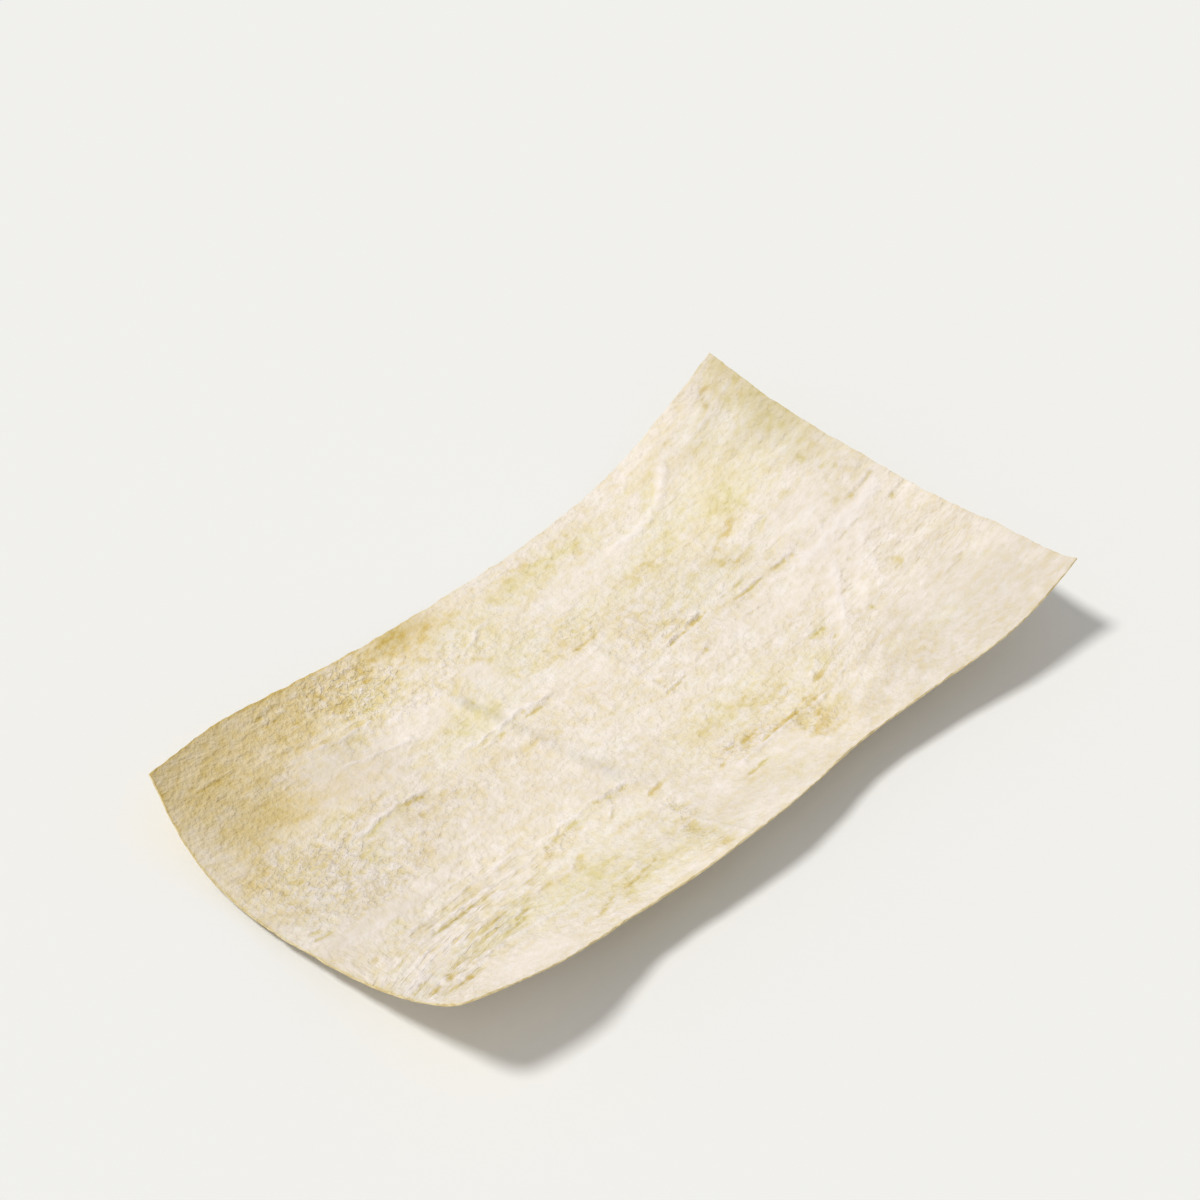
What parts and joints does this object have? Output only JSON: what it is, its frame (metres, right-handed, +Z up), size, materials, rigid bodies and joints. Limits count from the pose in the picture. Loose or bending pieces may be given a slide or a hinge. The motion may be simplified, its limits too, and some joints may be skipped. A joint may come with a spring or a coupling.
{
  "type": "dried kelp sheet",
  "caption": "Thin rectangular sheet of pale shaved dried kelp, flat in its middle, with corners and near side curled up, for wrapping or cooking.",
  "frame": {"origin": "middle of the sheet's footprint, at the height of the surface it lies on", "axes": "+X along the sheet, +Y across it to the flatter long side, +Z up from the surface it lies on"},
  "size_m": [0.2096, 0.1216, 0.026],
  "materials": {
    "dried_kelp": "dry, slightly waxy matte, with golden fibres along the sheet"
  },
  "bodies": {
    "root": {"kelp_sheet": "dried_kelp"}
  },
  "joints": []
}
